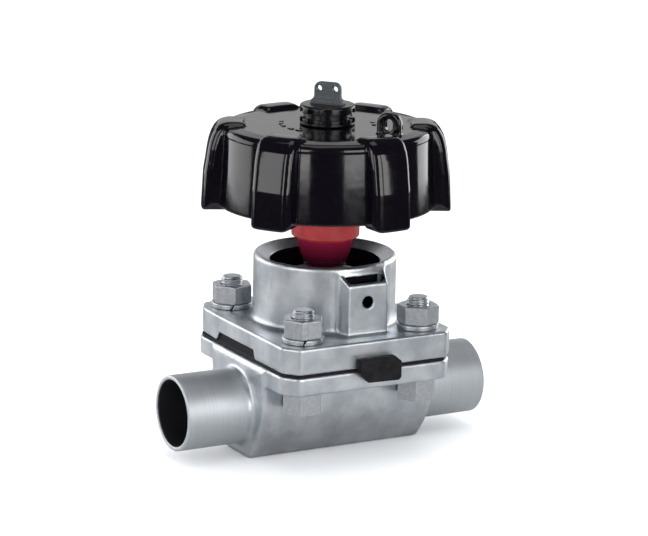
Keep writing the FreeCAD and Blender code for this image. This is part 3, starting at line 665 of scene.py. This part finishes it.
class Finish:
    """A Principled material and shorthand for the nodes that feed it. Lengths in it are metres."""

    def __init__(self, name, color, roughness, metallic=0.0, **sockets):
        self.material = bpy.data.materials.new(name)
        self.material.use_nodes = True
        self.tree = self.material.node_tree
        self.shader = self.tree.nodes["Principled BSDF"]
        self.shader.inputs["Base Color"].default_value = (*color, 1.0)
        self.shader.inputs["Roughness"].default_value = roughness
        self.shader.inputs["Metallic"].default_value = metallic
        for socket, value in sockets.items():
            self.shader.inputs[socket.replace("_", " ")].default_value = value
        self.place = self.node("ShaderNodeTexCoord").outputs["Object"]
        self.bump = None

    def node(self, kind, **settings):
        made = self.tree.nodes.new(kind)
        for key, value in settings.items():
            setattr(made, key, value)
        return made

    def feed(self, node, socket, value):
        """Links an output to a node's input, or sets the input to a constant."""
        if isinstance(value, bpy.types.NodeSocket):
            self.tree.links.new(value, node.inputs[socket])
        else:
            node.inputs[socket].default_value = value

    def math(self, operation, a, b=0.0, c=0.0):
        node = self.node("ShaderNodeMath", operation=operation)
        for k, value in enumerate((a, b, c)):
            self.feed(node, k, value)
        return node.outputs[0]

    def axis(self, name):
        """The X, Y or Z coordinate."""
        node = self.node("ShaderNodeSeparateXYZ")
        self.feed(node, 0, self.place)
        return node.outputs[name]

    def distance(self, first, second, centre=0.0):
        """The distance from the line along the third axis that crosses the second one at the centre."""
        a = self.math("POWER", self.axis(first), 2.0)
        b = self.math("POWER", self.math("SUBTRACT", self.axis(second), centre), 2.0)
        return self.math("SQRT", self.math("ADD", a, b))

    def stretched(self, scale):
        """The object's coordinates, stretched by a factor on each axis."""
        node = self.node("ShaderNodeMapping")
        self.feed(node, "Vector", self.place)
        node.inputs["Scale"].default_value = scale
        return node.outputs[0]

    def noise(self, size, detail=3.0, rough=0.55, vector=None):
        """Noise from 0 to 1 with spots of about that size."""
        node = self.node("ShaderNodeTexNoise")
        self.feed(node, "Vector", vector or self.place)
        node.inputs["Scale"].default_value = 1.0 / size
        node.inputs["Detail"].default_value = detail
        node.inputs["Roughness"].default_value = rough
        return node.outputs["Fac"]

    def spots(self, size):
        """The distance to the middle of each of many small cells."""
        node = self.node("ShaderNodeTexVoronoi")
        self.feed(node, "Vector", self.place)
        node.inputs["Scale"].default_value = 1.0 / size
        return node.outputs["Distance"]

    def spread(self, value, low, high, to_low, to_high):
        """Maps low..high to to_low..to_high, held at the ends."""
        node = self.node("ShaderNodeMapRange")
        for k, item in enumerate((value, low, high, to_low, to_high)):
            self.feed(node, k, item)
        return node.outputs[0]

    def edges(self, low=0.52, high=0.60):
        """1 on outside edges, where a highlight is painted, 0 elsewhere."""
        point = self.node("ShaderNodeNewGeometry").outputs["Pointiness"]
        return self.spread(point, low, high, 0.0, 1.0)

    def hollow_shade(self, low=0.49, high=0.42):
        """1 in inside corners, where shade is painted, 0 elsewhere."""
        point = self.node("ShaderNodeNewGeometry").outputs["Pointiness"]
        return self.spread(point, low, high, 0.0, 1.0)

    def mix(self, share, first, second):
        node = self.node("ShaderNodeMix", data_type="RGBA")
        self.feed(node, "Factor", share)
        for k, value in ((6, first), (7, second)):
            if not isinstance(value, bpy.types.NodeSocket):
                value = (*value, 1.0)
            self.feed(node, k, value)
        return node.outputs[2]

    def set_color(self, value):
        self.feed(self.shader, "Base Color", value)

    def set_roughness(self, value):
        self.feed(self.shader, "Roughness", value)

    def relief(self, value, depth):
        """Adds a bump of that depth on top of any bump before it."""
        node = self.node("ShaderNodeBump")
        node.inputs["Strength"].default_value = 1.0
        node.inputs["Distance"].default_value = depth
        self.feed(node, "Height", value)
        if self.bump is not None:
            self.feed(node, "Normal", self.bump)
        self.bump = node.outputs["Normal"]
        self.feed(self.shader, "Normal", self.bump)


def steel_body():
    """Blasted steel on the block and flange, turned and brushed round the pipe ends, with a painted highlight on
    outside edges and painted shade inside the bores.
    """
    f = Finish("forged_steel", (0.6, 0.61, 0.63), 0.4, 1.0)
    turned = f.spread(f.math("ABSOLUTE", f.axis("X")), 0.0362, 0.0372, 0.0, 1.0)
    blasted = f.math("SUBTRACT", 1.0, turned)
    grain = f.noise(0.0007, 4.0, 0.65)
    patches = f.noise(0.009, 3.0)
    lines = f.noise(0.0006, 3.0, 0.6, f.stretched((1.0, 0.012, 0.012)))
    blasted_color = f.mix(f.spread(patches, 0.35, 0.65, 0.0, 1.0), (0.56, 0.59, 0.63), (0.75, 0.78, 0.81))
    turned_color = f.mix(f.spread(lines, 0.3, 0.7, 0.0, 1.0), (0.62, 0.65, 0.68), (0.69, 0.72, 0.75))
    color = f.mix(turned, blasted_color, turned_color)
    # painted highlight on the outside edges
    color = f.mix(f.math("MULTIPLY", f.edges(), 0.6), color, (0.88, 0.90, 0.92))
    # painted shade inside the pipe bores
    bore_shade = f.spread(f.distance("Y", "Z", pipe_axis_z * MM), 0.0119, 0.0122, 1.0, 0.0)
    f.set_color(f.mix(bore_shade, color, (0.10, 0.10, 0.11)))
    blasted_rough = f.spread(f.noise(0.003, 4.0), 0.3, 0.7, 0.33, 0.46)
    turned_rough = f.spread(lines, 0.3, 0.7, 0.50, 0.58)
    f.set_roughness(f.math("ADD", f.math("MULTIPLY", blasted_rough, blasted),
                           f.math("MULTIPLY", turned_rough, turned)))
    f.relief(f.math("MULTIPLY", grain, blasted), 0.00007)
    f.relief(f.math("MULTIPLY", lines, turned), 0.000006)
    return f.material


def pocket_shade(f):
    """1 inside the bonnet's pocket, below its mouth, where shade is painted, and 0 elsewhere."""
    fade = 0.0002
    across = ("X", (pocket_x[0] + 0.3) * MM, (pocket_x[1] - 0.2) * MM)
    deep = ("Y", -0.0276, -0.0217)
    mask = f.spread(f.axis("Z"), 0.0664, 0.0667, 1.0, 0.0)
    for axis, low, high in (across, deep):
        place = f.axis(axis)
        mask = f.math("MULTIPLY", mask, f.spread(place, low, low + fade, 0.0, 1.0))
        mask = f.math("MULTIPLY", mask, f.spread(place, high - fade, high, 1.0, 0.0))
    return mask


def steel_cast():
    """Cast and blasted steel: fine grain, faint pits, a painted highlight on outside edges, painted shade in
    inside corners and in the pocket.
    """
    f = Finish("cast_steel", (0.6, 0.61, 0.63), 0.4, 1.0)
    patches = f.noise(0.011, 4.0)
    color = f.mix(f.spread(patches, 0.35, 0.65, 0.0, 1.0), (0.52, 0.55, 0.59), (0.74, 0.77, 0.80))
    # painted shade in the inside corners
    color = f.mix(f.math("MULTIPLY", f.hollow_shade(), 0.5), color, (0.28, 0.29, 0.31))
    # painted highlight on the outside edges
    color = f.mix(f.math("MULTIPLY", f.edges(), 0.6), color, (0.90, 0.92, 0.94))
    # painted shade inside the pocket's slot, near black
    f.set_color(f.mix(pocket_shade(f), color, (0.02, 0.02, 0.03)))
    f.set_roughness(f.spread(f.noise(0.0025, 4.0), 0.3, 0.7, 0.30, 0.44))
    f.relief(f.noise(0.0008, 4.0, 0.65), 0.00008)
    f.relief(f.spread(f.spots(0.0022), 0.0, 0.18, 0.0, 1.0), 0.00003)
    return f.material


def steel_bolt():
    """Cold-formed fastener steel with light tool marks."""
    f = Finish("bolt_steel", (0.5, 0.5, 0.51), 0.35, 1.0)
    marks = f.noise(0.0012, 5.0, 0.65)
    color = f.mix(f.spread(marks, 0.35, 0.65, 0.0, 1.0), (0.48, 0.50, 0.53), (0.62, 0.64, 0.67))
    # painted highlight on the outside edges
    f.set_color(f.mix(f.math("MULTIPLY", f.edges(0.51, 0.56), 0.7), color, (0.78, 0.79, 0.80)))
    f.set_roughness(f.spread(marks, 0.3, 0.7, 0.30, 0.46))
    f.relief(f.noise(0.0005, 4.0), 0.00003)
    return f.material


def steel_turned(name, low_color, high_color):
    """Turned metal with fine rings round the spindle's axis."""
    f = Finish(name, high_color, 0.3, 1.0)
    rings = f.noise(0.0004, 3.0, 0.7, f.stretched((0.02, 0.02, 1.0)))
    f.set_color(f.mix(f.spread(rings, 0.3, 0.7, 0.0, 1.0), low_color, high_color))
    f.set_roughness(f.spread(rings, 0.3, 0.7, 0.24, 0.38))
    f.relief(rings, 0.000015)
    return f.material


def black_rubber():
    """Moulded rubber with a faint bloom and fine pitting."""
    f = Finish("black_rubber", (0.018, 0.018, 0.02), 0.6, Specular_IOR_Level=0.15)
    bloom = f.noise(0.004, 4.0)
    color = f.mix(f.spread(bloom, 0.35, 0.7, 0.0, 1.0), (0.004, 0.0035, 0.005), (0.013, 0.012, 0.015))
    f.set_color(color)
    f.set_roughness(f.spread(bloom, 0.3, 0.7, 0.5, 0.68))
    f.relief(f.noise(0.0004, 4.0, 0.6), 0.00003)
    return f.material


def black_plastic(name, smoothest, roughest, **sockets):
    """Moulded black plastic: faint flow waves, fine dust and uneven gloss."""
    f = Finish(name, (0.003, 0.003, 0.004), smoothest, **sockets)
    dust = f.noise(0.0009, 5.0, 0.7)
    color = f.mix(f.spread(dust, 0.5, 0.85, 0.0, 1.0), (0.0018, 0.0012, 0.0026), (0.006, 0.005, 0.008))
    f.set_color(color)
    f.set_roughness(f.spread(f.noise(0.006, 5.0, 0.6), 0.3, 0.7, smoothest, roughest))
    f.relief(f.noise(0.009, 2.0), 0.00004)
    return f.material


def red_plastic():
    """Red moulding with soft flow marks. Its cone is darker, with painted shade running from crimson to near
    black at the foot.
    """
    f = Finish("red_plastic", (0.62, 0.03, 0.03), 0.2, Coat_Weight=0.2, Coat_Roughness=0.1)
    flow = f.noise(0.006, 3.0)
    barrel = f.mix(f.spread(flow, 0.35, 0.65, 0.0, 1.0), (0.32, 0.026, 0.028), (0.40, 0.036, 0.036))
    height = f.axis("Z")
    # painted shade on the cone, darkening towards its foot in the well
    cone = f.mix(f.spread(height, 0.0670, 0.0745, 1.0, 0.0), (0.17, 0.008, 0.030), (0.022, 0.002, 0.008))
    f.set_color(f.mix(f.spread(height, 0.0752, 0.0758, 1.0, 0.0), barrel, cone))
    f.set_roughness(f.spread(f.noise(0.002, 4.0), 0.3, 0.7, 0.16, 0.26))
    f.relief(f.noise(0.003, 2.0), 0.00002)
    return f.material


def grey_plastic():
    """Grained dark grey plastic, paler on its edges with a painted highlight."""
    f = Finish("grey_plastic", (0.12, 0.13, 0.13), 0.55)
    grain = f.noise(0.0005, 4.0, 0.7)
    color = f.mix(f.spread(grain, 0.35, 0.65, 0.0, 1.0), (0.020, 0.025, 0.027), (0.055, 0.063, 0.066))
    # painted highlight on the outside edges
    f.set_color(f.mix(f.math("MULTIPLY", f.edges(), 0.5), color, (0.11, 0.12, 0.12)))
    f.set_roughness(f.spread(grain, 0.3, 0.7, 0.45, 0.62))
    f.relief(grain, 0.00006)
    return f.material


def bush_plastic():
    """Turned bearing plastic."""
    f = Finish("bush_plastic", (0.72, 0.69, 0.58), 0.5)
    rings = f.noise(0.0004, 3.0, 0.6, f.stretched((0.02, 0.02, 1.0)))
    f.set_color(f.mix(f.spread(rings, 0.3, 0.7, 0.0, 1.0), (0.62, 0.59, 0.48), (0.76, 0.73, 0.62)))
    f.relief(rings, 0.000012)
    return f.material


# ------------------------------------------------------------ the visible pieces

forged = steel_body()
cast = steel_cast()
bolt_steel = steel_bolt()
spindle_steel = steel_turned("spindle_steel", (0.52, 0.525, 0.54), (0.70, 0.705, 0.72))
washer_brass = steel_turned("washer_brass", (0.55, 0.40, 0.17), (0.72, 0.55, 0.26))
rubber = black_rubber()
gloss = black_plastic("black_plastic", 0.07, 0.14)
satin = black_plastic("knob_plastic", 0.20, 0.30)
dull = black_plastic("cap_plastic", 0.50, 0.65, Specular_IOR_Level=0.0)
red = red_plastic()
grey = grey_plastic()
bush_material = bush_plastic()

ROOT = "body_and_bonnet"
bolts = copies(*cover_bolt(), bolt_places(bolt_low_z, (0, 0, 0, 0)))
nuts = copies(*cover_nut(), bolt_places(nut_low_z, (0, 12, 24, 36)))
washers = copies(*spring_washer(), bolt_places(deck_z, (-115, -115, -60, -60)))

# name, mesh, material, body, slot and the CAD node that the piece stands in for, if any
pieces = [
    ("body_forging", valve_body(), forged, ROOT, "forged_steel", "valve_body"),
    ("rubber_diaphragm", diaphragm(), rubber, ROOT, "black_rubber", "diaphragm"),
    ("bonnet_casting", bonnet(), cast, ROOT, "cast_steel", "bonnet"),
    ("dished_cap", seal_cap(), dull, ROOT, "black_plastic", "seal_cap"),
    ("threaded_bolts", bolts, bolt_steel, ROOT, "bolt_steel", "cover_bolts"),
    ("hexagon_nuts", nuts, bolt_steel, ROOT, "bolt_steel", "cover_nuts"),
    ("split_washers", washers, bolt_steel, ROOT, "bolt_steel", "spring_washers"),
    ("position_sleeve", indicator_sleeve(), red, "wheel", "red_plastic", "indicator_sleeve"),
    ("wheel_moulding", handwheel(), gloss, "wheel", "black_plastic", "handwheel"),
    ("disc_marks", raised_marks(), gloss, "wheel", "black_plastic"),
    ("stroke_knob", limiter_knob(), satin, "limiter", "black_plastic", "limiter_knob"),
    ("wire_tab", seal_tab(), grey, "limiter", "grey_plastic", "seal_tab"),
]
for name, (points, faces), material, body, slot, *nodes in pieces:
    place_piece(make_object(name, points, faces, material), body, slot, *nodes)

# the CAD nodes that stay as they are and only take a material
inner_nodes = {
    "diaphragm_stud": spindle_steel, "spindle_bush": bush_material, "bush_seal_ring": rubber,
    "spindle_seal_ring": rubber, "compressor": cast, "compressor_pins": spindle_steel,
    "thrust_disc": washer_brass, "spindle": spindle_steel, "wheel_insert": washer_brass,
    "wheel_washer": bolt_steel, "wheel_nut": bolt_steel, "limiter_screw": spindle_steel,
}
for node, material in inner_nodes.items():
    for material_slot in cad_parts[node].material_slots:
        material_slot.material = material


# ------------------------------------------------------------ floor, light and camera

# the camera stands camera_azimuth degrees to the left of the front
camera_place = (-0.55026, -0.99184, 0.34340)
camera_forward = (0.470867, 0.849128, -0.239303)
camera_azimuth = 29.02
camera_roll = 1.09
camera_lens = 182.5

floor_reach = 6.0
floor_fade = (0.22, 0.34)
floor_mirrored_near = (0.37, 0.37, 0.37)
floor_mirrored_far = (0.03, 0.03, 0.03)

surround_color = (0.93, 0.96, 1.0, 1.0)
surround_diffuse = 1.15
surround_gloss = 0.05

# name, degrees to the right of the camera, degrees of width, lowest and highest point, radiance
softbox_distance = 0.45
standing_softboxes = [
    ("side_left", -112, 52, 0.019, 0.30, 2.4),
    ("front_left", -51.5, 25, 0.082, 0.32, 3.1),
    ("strip_left", -22, 10, 0.054, 0.32, 4.4),
    ("front_right", 31, 26, 0.054, 0.32, 4.2),
    ("strip_right", 54, 8, 0.072, 0.32, 4.2),
    ("side_right", 130, 36, 0.019, 0.30, 3.2),
]


def studio_floor():
    """A pale floor that runs out of sight; its mirror image is dimmer and fades away from the valve."""
    f = Finish("floor", (0.9, 0.9, 0.9), 0.7)
    pale = f.mix(f.noise(0.4, 3.0), (0.88, 0.88, 0.88), (0.92, 0.92, 0.92))
    away = f.spread(f.distance("X", "Y"), *floor_fade, 0.0, 1.0)
    mirrored = f.mix(away, floor_mirrored_near, floor_mirrored_far)
    f.set_color(f.mix(f.node("ShaderNodeLightPath").outputs["Is Glossy Ray"], pale, mirrored))
    mesh = bpy.data.meshes.new("floor")
    r = floor_reach
    mesh.from_pydata([(-r, -r, 0), (r, -r, 0), (r, r, 0), (-r, r, 0)], [], [(0, 1, 2, 3)])
    mesh.materials.append(f.material)
    floor = bpy.data.objects.new("floor", mesh)
    bpy.context.scene.collection.objects.link(floor)


def studio_world():
    """An even pale surround for soft light, seen darker in gloss, so that the softboxes draw the reflections."""
    world = bpy.data.worlds.new("studio")
    world.use_nodes = True
    tree = world.node_tree
    path = tree.nodes.new("ShaderNodeLightPath")
    level = tree.nodes.new("ShaderNodeMapRange")
    level.inputs["To Min"].default_value = surround_diffuse
    level.inputs["To Max"].default_value = surround_gloss
    tree.links.new(path.outputs["Is Glossy Ray"], level.inputs["Value"])
    background = tree.nodes["Background"]
    background.inputs["Color"].default_value = surround_color
    tree.links.new(level.outputs[0], background.inputs["Strength"])
    bpy.context.scene.world = world


def softbox(name, place, aim, width, height, power):
    light = bpy.data.lights.new(name, "AREA")
    light.shape = "RECTANGLE"
    light.size = width
    light.size_y = height
    light.energy = power
    lamp = bpy.data.objects.new(name, light)
    lamp.location = place
    lamp.visible_camera = False
    lamp.rotation_euler = (Vector(aim) - Vector(place)).to_track_quat("-Z", "Y").to_euler()
    bpy.context.scene.collection.objects.link(lamp)


def standing_softbox(name, bearing, spread, low, high, radiance):
    """An upright softbox on a circle round the valve."""
    a = math.radians(-90 - camera_azimuth + bearing)
    width = 2 * softbox_distance * math.tan(math.radians(spread / 2))
    middle = (low + high) / 2
    place = (softbox_distance * math.cos(a), softbox_distance * math.sin(a), middle)
    softbox(name, place, (0, 0, middle), width, high - low, radiance * math.pi * width * (high - low))


def studio_camera():
    """A long lens from the front left, a little above, with a slight roll."""
    forward = Vector(camera_forward).normalized()
    right = forward.cross(Vector((0, 0, 1))).normalized()
    up = right.cross(forward)
    roll = math.radians(camera_roll)
    right, up = (right * math.cos(roll) + up * math.sin(roll), up * math.cos(roll) - right * math.sin(roll))
    lens = bpy.data.cameras.new("camera")
    lens.lens = camera_lens
    lens.sensor_width = 36.0
    lens.clip_start = 0.05
    camera = bpy.data.objects.new("camera", lens)
    camera.matrix_world = Matrix((right, up, -forward)).transposed().to_4x4()
    camera.location = camera_place
    bpy.context.scene.collection.objects.link(camera)
    bpy.context.scene.camera = camera


studio_floor()
studio_world()
for row in standing_softboxes:
    standing_softbox(*row)
softbox("behind", (0.97, 1.75, 0.75), (0, 0, 0.1), 3.0, 1.1, 7.0)
softbox("top", (0, 0, 1.4), (0, 0, 0), 1.0, 1.0, 3.6)
studio_camera()
bpy.context.scene.view_settings.view_transform = "Standard"
